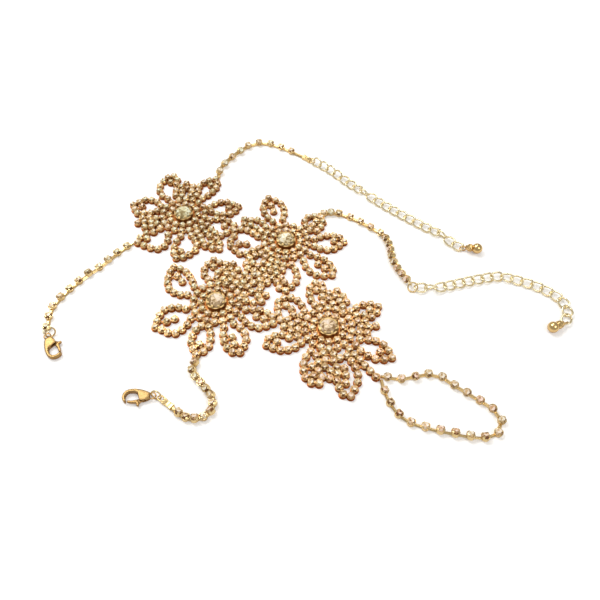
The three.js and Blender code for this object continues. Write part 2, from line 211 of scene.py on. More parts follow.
Ring = namedtuple("Ring", "middle heading roll")
JUMP_RINGS = {
    "forearm_clasp_ring": Ring((-97.93, -16.05, 2.21), 38, 70),
    "wrist_clasp_ring": Ring((-52.9, -43.34, 2.21), 340, 70),
    "wrist_extender_ring": Ring((46.5, 6.2, 1.74), 355, 45),
}

Crimp = namedtuple("Crimp", "start heading loop_roll")
CRIMPS = {
    "forearm_extender_connector": Crimp((1.6, 84.7), 322, 45),
    "wrist_clasp_connector": Crimp((-46.7, -47.6), 143, 0),
}

CLASPS = ("forearm", "wrist")
UP = Vector((0, 0, 1))

# The first random seed of each kind of piece. The stones' seeds are SEED_STEP apart.
CUP_SEED = 100
CHAIN_SEED = 200
CHAIN_STONE_SEED = 300
CENTRE_STONE_SEED = 500
SEED_STEP = 10


# ---- properties


def length_property(name, description, millimetres):
    return FloatProperty(name=name, description=description, default=millimetres * MM, unit="LENGTH")


def colour_property(name, description, red, green, blue):
    return FloatVectorProperty(
        name=name, description=description, subtype="COLOR", size=4, default=(red, green, blue, 1.0)
    )


class SettingSizes(bpy.types.PropertyGroup):
    """Sizes of one small cup and of a flower's centre setting."""

    cup_radius: length_property("Cup radius", "Outside radius of a small cup", 1.53)
    cup_height: length_property("Cup height", "Height of a small cup's wall", 1.4)
    wall: length_property("Wall", "Thickness of a small cup's wall", 0.28)
    prong: length_property("Prong", "How far a prong stands above the wall", 0.72)
    seat_radius: length_property("Seat radius", "Radius of the disc under a small cup", 1.74)
    seat_thickness: length_property("Seat thickness", "Thickness of the disc under a small cup", 0.45)
    strap_width: length_property("Strap width", "Width of the straps between cups", 1.25)
    strap_thickness: length_property("Strap thickness", "Thickness of the straps between cups", 0.5)
    centre_radius: length_property("Centre radius", "Outside radius of a centre setting", 4.15)
    centre_height: length_property("Centre height", "Height of a centre setting's wall", 2.7)


class StoneSizes(bpy.types.PropertyGroup):
    """Sizes of the stones, and the colours of their facets' painted light and shade."""

    radius: length_property("Radius", "Girdle radius of a small stone", 1.33)
    centre_radius: length_property("Centre radius", "Girdle radius of a centre stone", 3.45)
    sides: IntProperty(name="Sides", description="Main facets of a small stone", default=8, min=6, max=12)
    # A facet's colour is painted light and shade, mixed with random tone: the light colour is a painted
    # highlight, the dark ones are painted shade, and the middle and pale ones are the stone's own colour.
    light: colour_property("Light", "Colour of a facet that catches the light", 1.0, 0.98, 0.90)
    middle: colour_property("Middle", "Colour of most facets", 0.77, 0.585, 0.34)
    pale: colour_property("Pale", "Colour of most facets of a centre stone", 0.82, 0.70, 0.48)
    centre_facet_shade: colour_property("Centre facet shade", "Darkest colour of a centre stone's facets", 0.34, 0.24, 0.12)
    dark: colour_property("Dark", "Colour of a facet turned from the light", 0.17, 0.065, 0.02)


class MetalLook(bpy.types.PropertyGroup):
    """Sizes of wire, colours of the metal, and the painted shade of the metal low down."""

    link_length: length_property("Link length", "Outside length of an extender link", 5.9)
    link_width: length_property("Link width", "Outside width of an extender link", 4.6)
    link_wire: length_property("Link wire", "Wire diameter of the extender links", 0.88)
    ring_size: length_property("Ring size", "Outside diameter of a jump ring", 4.6)
    ring_wire: length_property("Ring wire", "Wire diameter of jump rings and loops", 0.66)
    ball_radius: length_property("Ball radius", "Radius of a drop's ball", 2.27)
    gold: colour_property("Gold", "Colour of the polished metal", 0.85, 0.60, 0.265)
    wire: colour_property("Wire gold", "Colour of the extender links", 0.93, 0.81, 0.53)
    chain: colour_property("Chain gold", "Colour of the cup chains and jump rings", 0.80, 0.615, 0.31)
    cast: colour_property("Cast gold", "Colour of the cast clasps", 0.46, 0.31, 0.125)
    # Painted shade: the darker, more orange colour of the metal low between and under the settings stands
    # in for their shade and the gold they reflect onto each other.
    painted_shade_gold: colour_property("Painted shade gold", "Colour of the metal low between the settings", 0.44, 0.15, 0.036)


class StageLook(bpy.types.PropertyGroup):
    """The floor, the light and the camera."""

    floor_size: length_property("Floor size", "Side of the floor", 4000)
    floor_colour: colour_property("Floor", "Colour of the floor", 0.93, 0.93, 0.93)
    lens: FloatProperty(
        name="Lens", description="Focal length for a 36 mm wide sensor, in millimetres", default=39.0
    )
    elevation: FloatProperty(
        name="Elevation", description="Camera's height above the horizon", default=math.radians(55),
        subtype="ANGLE",
    )
    distance: length_property("Distance", "Camera's distance from what it looks at", 266.4)


# ---- routes


def from_layout(x, y, z=0):
    """A point of the layout in the frame's own axes, still in millimetres."""
    return Vector((x - BODY_CENTRE[0], y - BODY_CENTRE[1], z))


class Route:
    """A smooth line through points, read by the distance along it."""

    STEPS = 40

    def __init__(self, points):
        points = [from_layout(*point) for point in points]
        before = points[0] * 2 - points[1]
        after = points[-1] * 2 - points[-2]
        padded = [before, *points, after]
        self.places = [points[0]]
        for i in range(len(points) - 1):
            for step in range(1, self.STEPS + 1):
                self.places.append(self.between(*padded[i : i + 4], step / self.STEPS))
        self.lengths = [0.0]
        for a, b in zip(self.places, self.places[1:]):
            self.lengths.append(self.lengths[-1] + (b - a).length)

    @staticmethod
    def between(a, b, c, d, share):
        """A point between b and c, a share of the way along a curve through all four."""
        gaps = [math.sqrt((q - p).length) for p, q in ((a, b), (b, c), (c, d))]
        start = (b - a) / gaps[0] - (c - a) / (gaps[0] + gaps[1]) + (c - b) / gaps[1]
        end = (c - b) / gaps[1] - (d - b) / (gaps[1] + gaps[2]) + (d - c) / gaps[2]
        start, end = start * gaps[1], end * gaps[1]
        square, cube = share**2, share**3
        return (
            b
            + start * share
            + (c * 3 - b * 3 - start * 2 - end) * square
            + (b * 2 - c * 2 + start + end) * cube
        )

    @property
    def length(self):
        return self.lengths[-1]

    def at(self, distance):
        """The place and the direction at a distance along the route. It runs on straight past its ends."""
        i = min(max(bisect_right(self.lengths, distance) - 1, 0), len(self.places) - 2)
        a, b = self.places[i], self.places[i + 1]
        direction = (b - a).normalized()
        return a + direction * (distance - self.lengths[i]), direction


# ---- modelling


def deselect():
    bpy.ops.object.select_all(action="DESELECT")


def choose(*pieces):
    """Selects these pieces and nothing else, and makes the first one active."""
    deselect()
    for piece in pieces:
        piece.select_set(True)
    bpy.context.view_layer.objects.active = pieces[0]


def made():
    """The primitive that was just added, ready to be edited, with its place in its mesh."""
    piece = bpy.context.object
    bpy.ops.object.transform_apply(location=True, rotation=True, scale=True)
    return piece


def cylinder(sides, radius, low, high, turn=0.0):
    deselect()
    bpy.ops.mesh.primitive_cylinder_add(
        vertices=sides, radius=radius, depth=high - low,
        location=(0, 0, (low + high) / 2), rotation=(0, 0, turn),
    )
    return made()


def block(length, width, height):
    deselect()
    bpy.ops.mesh.primitive_cube_add(size=1)
    resize(length, width, height)
    return made()


def edit(piece):
    choose(piece)
    bpy.ops.object.mode_set(mode="EDIT")


def leave():
    bpy.ops.object.mode_set(mode="OBJECT")


def pick(piece, test):
    """In edit mode, selects the faces for which test(middle, normal) is true."""
    bpy.ops.mesh.select_mode(type="FACE")
    bpy.ops.mesh.select_all(action="DESELECT")
    cage = bmesh.from_edit_mesh(piece.data)
    for face in cage.faces:
        face.select_set(test(face.calc_center_median(), face.normal))
    cage.select_flush_mode()
    bmesh.update_edit_mesh(piece.data)


def faces_up(middle, normal):
    return normal.z > 0.5


def pick_points(piece, test):
    """In edit mode, selects the corners for which test(place) is true."""
    bpy.ops.mesh.select_mode(type="VERT")
    bpy.ops.mesh.select_all(action="DESELECT")
    cage = bmesh.from_edit_mesh(piece.data)
    for corner in cage.verts:
        corner.select_set(test(corner.co))
    cage.select_flush_mode()
    bmesh.update_edit_mesh(piece.data)


def resize(along, across, up):
    bpy.ops.transform.resize(value=(along, across, up), center_override=(0, 0, 0))


def raise_faces(rise, spread=1.0, turn=0.0):
    """Extrudes the selected faces upwards, then draws them towards the Z axis and turns them about it."""
    bpy.ops.mesh.extrude_region_move(TRANSFORM_OT_translate={"value": (0, 0, rise)})
    if spread != 1.0:
        resize(spread, spread, 1)
    if turn:
        bpy.ops.transform.rotate(value=turn, orient_axis="Z", center_override=(0, 0, 0))


def apply_modifier(piece, kind, **settings):
    choose(piece)
    modifier = piece.modifiers.new(kind.title(), kind)
    for name, value in settings.items():
        setattr(modifier, name, value)
    bpy.ops.object.modifier_apply(modifier=modifier.name)


def smooth(piece, degrees):
    choose(piece)
    bpy.ops.object.shade_smooth_by_angle(angle=math.radians(degrees))


def new_object(name, data):
    piece = bpy.data.objects.new(name, data)
    bpy.context.scene.collection.objects.link(piece)
    return piece


def discard(*pieces):
    for piece in pieces:
        mesh = piece.data
        bpy.data.objects.remove(piece)
        bpy.data.meshes.remove(mesh)


def joined(pieces, name):
    choose(*pieces)
    if len(pieces) > 1:
        bpy.ops.object.join()
    whole = bpy.context.view_layer.objects.active
    whole.name = name
    whole.data.name = name
    return whole


def copies(template, places, name, dress=None):
    """One object made of a copy of the template at each place. dress(mesh) finishes each copy."""
    pieces = []
    for place in places:
        mesh = template.data.copy()
        mesh.transform(place)
        if dress:
            dress(mesh)
        pieces.append(new_object(name, mesh))
    return joined(pieces, name)


MERGE_DISTANCE = 0.001 * MM


def merged_copy(node, name):
    """A copy of a frame node's solid, with its split corners merged."""
    copy = new_object(name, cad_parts[node].data.copy())
    edit(copy)
    bpy.ops.mesh.select_all(action="SELECT")
    bpy.ops.mesh.remove_doubles(threshold=MERGE_DISTANCE)
    leave()
    return copy


def finish(piece, material, body=ROOT, replaces=()):
    """Gives a piece its material and slot, and sets it on its body in place of its nodes."""
    piece.data.materials.clear()
    piece.data.materials.append(material)
    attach(piece, body)
    if replaces:
        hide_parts(*replaces)
    return piece


def heading_of(forward):
    return math.degrees(math.atan2(forward.y, forward.x))


def heading_matrix(place, heading, roll=0.0):
    """Stands a piece that lies along X at a place, turned to a heading and rolled about its own length."""
    return (
        Matrix.Translation(place)
        @ Matrix.Rotation(math.radians(heading), 4, "Z")
        @ Matrix.Rotation(math.radians(roll), 4, "X")
    )


def strap_matrix(start, end, up, girth=1.0):
    """Stretches the strap template from one place to another."""
    along = end - start
    forward = along.normalized()
    side = up.cross(forward).normalized()
    turn = Matrix((forward, side, forward.cross(side))).transposed().to_4x4()
    stretch = Matrix.Diagonal((along.length / MM, girth, girth, 1))
    return Matrix.Translation((start + end) / 2) @ turn @ stretch

# ---- templates

CUP_SIDES = 12
CUP_FOOT = 0.86  # breadth of a small cup's foot, to that of its rim
CUP_PRONG_STEPS = ((0.7, 0.97), (0.3, 0.84))  # share of the prong's height, and how it draws in
PRONG_CORNER = 0.2 * MM  # how far off its diagonal a prong's place may lie

CROWN_STEPS = (0.55, 0.45)  # the two rows' shares of the crown's height
CROWN_WAIST = 0.84  # breadth between the two rows, to that of the girdle
TABLE_DIP = 0.04
STONE_GIRDLE, STONE_CROWN, STONE_TABLE = 0.12 * MM, 0.8 * MM, 0.6

CENTRE_SIDES = 24
CENTRE_FOOT = 0.05 * MM
CENTRE_WALL = 0.55 * MM
CENTRE_PRONG_ANGLE = 45
CENTRE_PRONG_STEPS = ((0.5, 0.98), (0.25, 0.86))  # millimetres up, and how it draws in
CENTRE_STONE_SIDES = 12
CENTRE_GIRDLE, CENTRE_CROWN, CENTRE_TABLE = 0.25 * MM, 1.35 * MM, 0.55

STRAP_TOP = 0.45  # breadth of a strap's top, to that of its foot


def dig_well(wall, height):
    """Insets the selected top of a cup by its wall, and sinks it by a third of the cup's height."""
    bpy.ops.mesh.inset(thickness=wall, depth=0)
    raise_faces(-height / 3)


def cup_template(sizes):
    """A small cup: a tapered wall with a well and four prongs."""
    height = sizes.cup_height
    cup = cylinder(CUP_SIDES, sizes.cup_radius, 0, height)
    edit(cup)
    pick(cup, lambda middle, normal: normal.z < -0.5)
    resize(CUP_FOOT, CUP_FOOT, 1)
    pick(cup, faces_up)
    dig_well(sizes.wall, height)

    def prong_seat(middle, normal):
        at_corner = abs(abs(middle.x) - abs(middle.y)) < PRONG_CORNER
        return normal.z > 0.5 and middle.z > 0.99 * height and at_corner and middle.length > sizes.wall

    pick(cup, prong_seat)
    for share, spread in CUP_PRONG_STEPS:
        raise_faces(sizes.prong * share, spread)
    leave()
    return cup


def stone_template(sides, radius, girdle, thickness, crown, table):
    """A stone: a girdle band, two rows of crown facets, and a table cut into wedges that carry the painted
    reflections of the facets seen through it.
    """
    stone = cylinder(sides, radius, girdle, girdle + thickness)
    half_step = math.pi / sides
    edit(stone)
    pick(stone, faces_up)
    raise_faces(crown * CROWN_STEPS[0], CROWN_WAIST, half_step)
    raise_faces(crown * CROWN_STEPS[1], table / CROWN_WAIST, half_step)
    crown_low = girdle + thickness + 0.01 * crown
    crown_high = girdle + thickness + 0.99 * crown
    pick(stone, lambda middle, normal: crown_low < middle.z < crown_high)
    bpy.ops.mesh.quads_convert_to_tris(quad_method="SHORTEST_DIAGONAL", ngon_method="BEAUTY")
    pick(stone, lambda middle, normal: normal.z > 0.99 and middle.z > crown_high)
    bpy.ops.mesh.poke(offset=-TABLE_DIP * radius)
    leave()
    for name in ("glint", "tint"):
        stone.data.attributes.new(name, "FLOAT", "FACE")
    return stone


def centre_setting_template(sizes):
    """The raised cup in the middle of a flower, with eight prongs."""
    radius, height = sizes.centre_radius, sizes.centre_height
    cup = cylinder(CENTRE_SIDES, radius, CENTRE_FOOT, height)
    edit(cup)
    pick(cup, faces_up)
    dig_well(CENTRE_WALL, height)

    def prong_seat(middle, normal):
        past = math.degrees(math.atan2(middle.y, middle.x)) % CENTRE_PRONG_ANGLE
        at_prong = abs(past - CENTRE_PRONG_ANGLE / 2) < 2
        return normal.z > 0.5 and middle.z > 0.99 * height and at_prong and middle.length > radius / 2

    pick(cup, prong_seat)
    for rise, spread in CENTRE_PRONG_STEPS:
        raise_faces(rise * MM, spread)
    leave()
    return cup


def seat_template(sizes):
    """The disc of solder and plate under a cup, which meets its neighbours' discs."""
    return cylinder(CUP_SIDES, sizes.seat_radius, 0, sizes.seat_thickness, math.pi / CUP_SIDES)


def strap_template(sizes):
    """A flat strap, one millimetre long, stretched to fit between two cups."""
    strap = block(MM, sizes.strap_width, sizes.strap_thickness)
    edit(strap)
    pick(strap, faces_up)
    resize(1, STRAP_TOP, 1)
    leave()
    return strap


def link_template(length, width, wire, sides=8):
    """An oval of round wire that lies in the XY plane, long along X."""
    deselect()
    bpy.ops.mesh.primitive_torus_add(
        major_segments=28, minor_segments=sides, major_radius=(width - wire) / 2, minor_radius=wire / 2
    )
    link = made()
    stretch = (length - width) / 2
    if stretch > 0:
        edit(link)
        for side in (-1, 1):
            pick_points(link, lambda place: place.x * side > wire / 100)
            bpy.ops.transform.translate(value=(side * stretch, 0, 0))
        leave()
    bpy.ops.object.shade_smooth()
    return link


# ---- materials

# A gold's colours low down and high up, the heights of the two in millimetres, its least and greatest
# roughness, the scale of its grain, and that grain's depth in millimetres. The colour low down is painted
# shade, darker and more orange where the pieces shade each other and reflect each other's gold.
Gold = namedtuple("Gold", "lower upper low high smoothest roughest grain relief", defaults=(2500.0, 0.012))
GOLDS = {
    "setting gold": Gold("painted_shade_gold", "gold", 0.3, 2.3, 0.22, 0.42),
    "rim gold": Gold("cast", "chain", 2, 6, 0.3, 0.5),
    "seat gold": Gold("painted_shade_gold", "gold", 0.3, 4, 0.3, 0.5),
    "chain gold": Gold("gold", "chain", 0.2, 2.8, 0.22, 0.42),
    "wire gold": Gold("gold", "wire", -1, 1.2, 0.22, 0.42),
    "cast gold": Gold("painted_shade_gold", "cast", -2, 2.4, 0.36, 0.54, 420.0, 0.3),
    "drop gold": Gold("painted_shade_gold", "gold", -2.5, 3.5, 0.14, 0.32),
}
# How the stones' tint drifts over the whole piece: towards which heading, and from where to where.
DRIFT_HEADING = math.radians(40)
DRIFT_FROM, DRIFT_TO = -30 * MM, 40 * MM


def node_group(name, inputs, outputs):
    """An empty shader group. Its sockets are given with their defaults, a number or a colour each."""
    group = bpy.data.node_groups.new(name, "ShaderNodeTree")
    for side, sockets in (("INPUT", inputs), ("OUTPUT", outputs)):
        for label, default in sockets.items():
            kind = "NodeSocketFloat" if isinstance(default, float) else "NodeSocketColor"
            socket = group.interface.new_socket(name=label, in_out=side, socket_type=kind)
            socket.default_value = default
    return group, group.nodes.new("NodeGroupInput"), group.nodes.new("NodeGroupOutput")


def add_node(tree, kind, **settings):
    """A new node. A setting is a socket's name, with _ for a space, or else one of the node's own."""
    node = tree.nodes.new("ShaderNode" + kind)
    for name, value in settings.items():
        socket = name.replace("_", " ")
        if socket in node.inputs:
            node.inputs[socket].default_value = value
        else:
            setattr(node, name, value)
    return node


def mix(tree, **settings):
    return add_node(tree, "Mix", data_type="RGBA", **settings)


def wire(tree, *links):
    """Joins sockets, given as: from node, its output, to node, its input."""
    for source, output, target, socket in links:
        tree.links.new(source.outputs[output], target.inputs[socket])


def height_shade_group():
    """How far up a piece a point is, from 0 at Low to 1 at High, broken up a little; it sets where the
    golds' painted shade gives way to their own colour.
    """
    group, sockets, result = node_group(
        "Height Shade", {"Low": 0.0, "High": 0.002, "Break Up": 0.2}, {"Mask": 0.0}
    )
    places = add_node(group, "TexCoord")
    split = add_node(group, "SeparateXYZ")
    span = add_node(group, "MapRange", clamp=True)
    noise = add_node(group, "TexNoise", Scale=650.0, Detail=3.0)
    centred = add_node(group, "Math", operation="SUBTRACT")
    centred.inputs[1].default_value = 0.5
    scaled = add_node(group, "Math", operation="MULTIPLY")
    total = add_node(group, "Math", operation="ADD", use_clamp=True)
    wire(
        group,
        (places, "Object", split, "Vector"),
        (places, "Object", noise, "Vector"),
        (split, "Z", span, "Value"),
        (sockets, "Low", span, "From Min"),
        (sockets, "High", span, "From Max"),
        (noise, "Fac", centred, 0),
        (centred, 0, scaled, 0),
        (sockets, "Break Up", scaled, 1),
        (span, "Result", total, 0),
        (scaled, 0, total, 1),
        (total, 0, result, "Mask"),
    )
    return group


def handling_group():
    """Fine scratches and smears of handled metal: a mask for roughness and a height."""
    group, sockets, result = node_group(
        "Handling", {"Grain": 2500.0, "Smear": 260.0}, {"Mask": 0.0, "Height": 0.0}
    )
    places = add_node(group, "TexCoord")
    fine = add_node(group, "TexNoise", Detail=2.0)
    broad = add_node(group, "TexNoise", Detail=4.0)
    both = add_node(group, "Math", operation="MULTIPLY")
    wire(
        group,
        (places, "Object", fine, "Vector"),
        (places, "Object", broad, "Vector"),
        (sockets, "Grain", fine, "Scale"),
        (sockets, "Smear", broad, "Scale"),
        (fine, "Fac", both, 0),
        (broad, "Fac", both, 1),
        (broad, "Fac", result, "Mask"),
        (both, 0, result, "Height"),
    )
    return group


def facet_tone_group():
    """Painted light and shade of cut stone: a dark, middle or light tone for each facet, chosen by its
    painted glint value, times each stone's own tint.
    """
    group, sockets, result = node_group(
        "Painted Facet Light",
        {"Dark": (0.1, 0.05, 0.02, 1), "Middle": (0.6, 0.4, 0.25, 1), "Light": (1, 0.9, 0.8, 1)},
        {"Color": (0, 0, 0, 1), "Glint": 0.0},
    )
    tint = add_node(group, "Attribute", attribute_name="tint")
    cast = mix(group, A=(1.0, 0.88, 0.80, 1.0), B=(0.94, 1.0, 0.86, 1.0))
    both = mix(group, blend_type="MULTIPLY", Factor=1.0)
    glint = add_node(group, "Attribute", attribute_name="glint")
    low = add_node(group, "MapRange", clamp=True, From_Min=0.05, From_Max=0.42)
    high = add_node(group, "MapRange", clamp=True, From_Min=0.5, From_Max=0.85)
    first, second = mix(group), mix(group)
    wire(
        group,
        (glint, "Fac", low, "Value"),
        (glint, "Fac", high, "Value"),
        (low, "Result", first, "Factor"),
        (sockets, "Dark", first, "A"),
        (sockets, "Middle", first, "B"),
        (high, "Result", second, "Factor"),
        (first, "Result", second, "A"),
        (sockets, "Light", second, "B"),
        (tint, "Fac", cast, "Factor"),
        (second, "Result", both, "A"),
        (cast, "Result", both, "B"),
        (both, "Result", result, "Color"),
        (glint, "Fac", result, "Glint"),
    )
    return group


def place_group(tree, name, build, **values):
    """A copy of a shared shader group in a material, built the first time it is needed."""
    node = tree.nodes.new("ShaderNodeGroup")
    node.node_tree = bpy.data.node_groups.get(name) or build()
    for label, value in values.items():
        node.inputs[label].default_value = value
    return node


def new_material(name, **values):
    material = bpy.data.materials.new(name)
    material.use_nodes = True
    shader = material.node_tree.nodes["Principled BSDF"]
    for socket, value in values.items():
        shader.inputs[socket.replace("_", " ")].default_value = value
    return material, material.node_tree, shader


def gold_material(name, look):
    """Gold-tone metal with painted shade: its colour runs with height from the lower colour to the upper,
    darker and more orange low down between and under the settings.
    """
    found = bpy.data.materials.get(name)
    if found:
        return found
    gold = GOLDS[name]
    material, tree, shader = new_material(name, Metallic=1.0)
    shade = place_group(tree, "Height Shade", height_shade_group, Low=gold.low * MM, High=gold.high * MM)
    wear = place_group(tree, "Handling", handling_group, Grain=gold.grain)
    colour = mix(tree, A=getattr(look, gold.lower), B=getattr(look, gold.upper))
    rough = add_node(tree, "MapRange", To_Min=gold.smoothest, To_Max=gold.roughest)
    bump = add_node(tree, "Bump", Strength=1.0, Distance=gold.relief * MM)
    wire(
        tree,
        (shade, "Mask", colour, "Factor"),
        (colour, "Result", shader, "Base Color"),
        (wear, "Mask", rough, "Value"),
        (rough, "Result", shader, "Roughness"),
        (wear, "Height", bump, "Height"),
        (bump, "Normal", shader, "Normal"),
    )
    return material


def stone_material(name, dark, middle, light):
    """Foiled champagne crystal with painted reflections: each facet's tone is a painted highlight or
    painted shade, varied at random, and the stones are a little pinker towards the fingers.
    """
    found = bpy.data.materials.get(name)
    if found:
        return found
    material, tree, shader = new_material(
        name, Metallic=0.0, Coat_Weight=0.2, Coat_Roughness=0.03, Specular_Tint=(1.0, 0.82, 0.58, 1.0)
    )
    tone = place_group(tree, "Painted Facet Light", facet_tone_group, Dark=dark, Middle=middle, Light=light)
    places = add_node(tree, "TexCoord")
    aim = add_node(tree, "Mapping", Rotation=(0, 0, DRIFT_HEADING))
    split = add_node(tree, "SeparateXYZ")
    drift = add_node(tree, "MapRange", clamp=True, From_Min=DRIFT_FROM, From_Max=DRIFT_TO)
    tint = mix(tree, blend_type="MULTIPLY", B=(1.0, 0.90, 0.93, 1.0))
    rough = add_node(tree, "MapRange", To_Min=0.22, To_Max=0.06)
    wire(
        tree,
        (places, "Object", aim, "Vector"),
        (aim, "Vector", split, "Vector"),
        (split, "X", drift, "Value"),
        (drift, "Result", tint, "Factor"),
        (tone, "Color", tint, "A"),
        (tint, "Result", shader, "Base Color"),
        (tone, "Glint", rough, "Value"),
        (rough, "Result", shader, "Roughness"),
    )
    return material


# ---- stones and cups

# Glint values of the stones' painted light: the table's painted highlight, and the crown's middle tone.
TABLE_HIGHLIGHT, CROWN_TONE = 0.66, 0.38
SIDE_SWING = 0.34  # how much lighter the lit side of a crown is, and darker the table's
STONE_SPREAD = 0.2  # how far a stone's tone strays from the others'
FACET_SPREAD, CENTRE_FACET_SPREAD = 0.22, 0.5
# The heading from which the light painted on the stones falls, and its random spread, in degrees.
LIT_HEADING, LIT_SPREAD = 115, 55

CUP_TIP = 6  # most degrees that a flower's cup tips
TIPPED_RADIUS = 1.5  # how far from its middle a tipped cup touches the floor
CUP_STRAY = 0.06
SEAT_SPREAD = (-0.12, 0.08)


def facet_turns(facets):
    """The order in which a stone's facets get their tones, the same every time that it is made.

    An extrusion numbers the facets of a crown's row in no fixed order, so these go by their heading.
    """
    turns = list(range(len(facets)))
    rows = {}
    for facet in facets:
        if 0.1 < facet.normal.z < 0.9:
            rows.setdefault(round(facet.center.z / MM, 1), []).append(facet)
    for row in rows.values():
        by_heading = sorted(row, key=lambda facet: round(heading_of(facet.center)) % 360)
        for turn, facet in zip(row, by_heading):
            turns[turn.index] = facet.index
    return turns


def glints(seed, template, scatter):
    """Gives each facet a painted glint value and each stone a tint. The table gets a painted highlight,
    darker on the lit side, and the crown is painted lit on one side and in shade on the other; each stone
    and facet also strays at random.
    """
    chance = random.Random(seed)
    facets = template.data.polygons
    top = max(corner.co.z for corner in template.data.vertices)
    in_table = [facet.normal.z > 0.9 and facet.center.z > 0.99 * top for facet in facets]
    turns = facet_turns(facets)

    def dress(mesh):
        own = chance.uniform(-STONE_SPREAD, STONE_SPREAD)
        tint = chance.random()
        lit = math.radians(chance.gauss(LIT_HEADING, LIT_SPREAD))
        middle = sum((corner.co for corner in mesh.vertices), Vector()) / len(mesh.vertices)
        values = [0.0] * len(turns)
        for index in turns:
            away = mesh.polygons[index].center - middle
            swing = SIDE_SWING * math.cos(math.atan2(away.y, away.x) - lit)
            value = TABLE_HIGHLIGHT - swing if in_table[index] else CROWN_TONE + swing
            value += own + chance.uniform(-scatter, scatter)
            values[index] = min(max(value, 0), 1)
        mesh.attributes["glint"].data.foreach_set("value", values)
        mesh.attributes["tint"].data.foreach_set("value", [tint] * len(values))

    return dress


def cups_and_stones(name, places, straps, state, seed, gold):
    """Sets a small cup and its stone at each place, with the straps that hold the cups together."""
    sizes, stones = state.setting_sizes, state.stone_sizes
    cup, strap = cup_template(sizes), strap_template(sizes)
    stone = stone_template(
        stones.sides, stones.radius, sizes.cup_height, STONE_GIRDLE, STONE_CROWN, STONE_TABLE
    )
    settings = [copies(cup, places, f"{name}_cups"), copies(strap, straps, f"{name}_straps")]
    metal = joined(settings, f"{name}_settings")
    chance = random.Random(seed)
    turned = [place @ Matrix.Rotation(chance.uniform(0, math.pi), 4, "Z") for place in places]
    gems = copies(stone, turned, f"{name}_stones", glints(seed + 1, stone, FACET_SPREAD))
    discard(cup, strap, stone)
    finish(metal, gold_material(gold, state.metal_look), replaces=[name])
    finish(gems, stone_material("champagne stone", stones.dark, stones.middle, stones.light))


def on_petal(petal, out, across):
    """Places a point of a petal: out along its bent middle line, and across it."""
    stretch = (petal.reach - PETAL_START) / (NOMINAL_REACH - PETAL_START)
    distance = out if out <= PETAL_START else PETAL_START + (out - PETAL_START) * stretch
    share = min(max((distance - PETAL_START) / (petal.reach - PETAL_START), 0), 1)
    angle = math.radians(petal.root + (petal.tip - petal.root) * share)
    side = across * (petal.left if across > 0 else petal.right)
    return Vector((
        distance * math.cos(angle) - side * math.sin(angle),
        distance * math.sin(angle) + side * math.cos(angle),
        0,
    ))


def evenly_along(line, pitch):
    """Points along a line of points about a pitch apart, with one in the very middle."""
    lengths = [0.0]
    for a, b in zip(line, line[1:]):
        lengths.append(lengths[-1] + (b - a).length)
    steps = 2 * round(lengths[-1] / pitch / 2)
    spots = []
    for i in range(steps + 1):
        distance = lengths[-1] * i / steps
        j = min(bisect_right(lengths, distance) - 1, len(line) - 2)
        share = (distance - lengths[j]) / (lengths[j + 1] - lengths[j])
        spots.append(line[j].lerp(line[j + 1], share))
    return spots


def flower_spots(name):
    """The middles of a flower's small cups, about its centre, in millimetres."""
    fixed = []
    for radius, count, first in RINGS:
        for i in range(count):
            angle = 2 * math.pi * (i + first) / count
            fixed.append(Vector((radius * math.cos(angle), radius * math.sin(angle), 0)))
    stem_flower, stem_angle, stem_cups = STEM
    if name == stem_flower:
        along = Vector((math.cos(math.radians(stem_angle)), math.sin(math.radians(stem_angle)), 0))
        fixed += [along * out for out in stem_cups]
    loose = []
    for petal in FLOWERS[name]:
        right = [on_petal(petal, out, -across) for out, across in PETAL_ROW]
        left = [on_petal(petal, out, across) for out, across in reversed(PETAL_ROW[:-1])]
        loose += evenly_along(right + left, CUP_PITCH)
        loose += [on_petal(petal, PETAL_MIDDLE - i * MIDDLE_PITCH, 0) for i in range(petal.inner)]
    return spread_apart(fixed, loose, LEAST_PITCH)


def spread_apart(fixed, loose, distance, rounds=30, least_share=0.88):
    """Nudges cups that crowd each other apart, and drops those that still do. The fixed ones stay."""
    spots = [spot.copy() for spot in fixed + loose]
    for _ in range(rounds):
        for i in range(len(fixed), len(spots)):
            for j in range(i):
                gap = spots[i] - spots[j]
                short = distance - gap.length
                if short > 0 and gap.length > 0:
                    push = gap.normalized() * short * 0.5
                    spots[i] += push
                    if j >= len(fixed):
                        spots[j] -= push
    kept = []
    for spot in spots:
        if all((spot - other).length > least_share * distance for other in kept):
            kept.append(spot)
    return kept


def cup_stance(spot, chance):
    """A cup standing on the floor, turned to face any way and tipped a few degrees."""
    tip = math.radians(chance.uniform(0, CUP_TIP))
    lift = UP * (TIPPED_RADIUS * math.sin(tip) + chance.uniform(0, CUP_STRAY))
    return (
        Matrix.Translation((spot + lift) * MM)
        @ Matrix.Rotation(chance.uniform(0, 2 * math.pi), 4, "Z")
        @ Matrix.Rotation(tip, 4, "X")
        @ Matrix.Rotation(chance.uniform(0, 2 * math.pi), 4, "Z")
    )


def flower_centre(name):
    low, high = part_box(f"centre_stone_{name}")
    return Vector(((low.x + high.x) / 2, (low.y + high.y) / 2, 0))


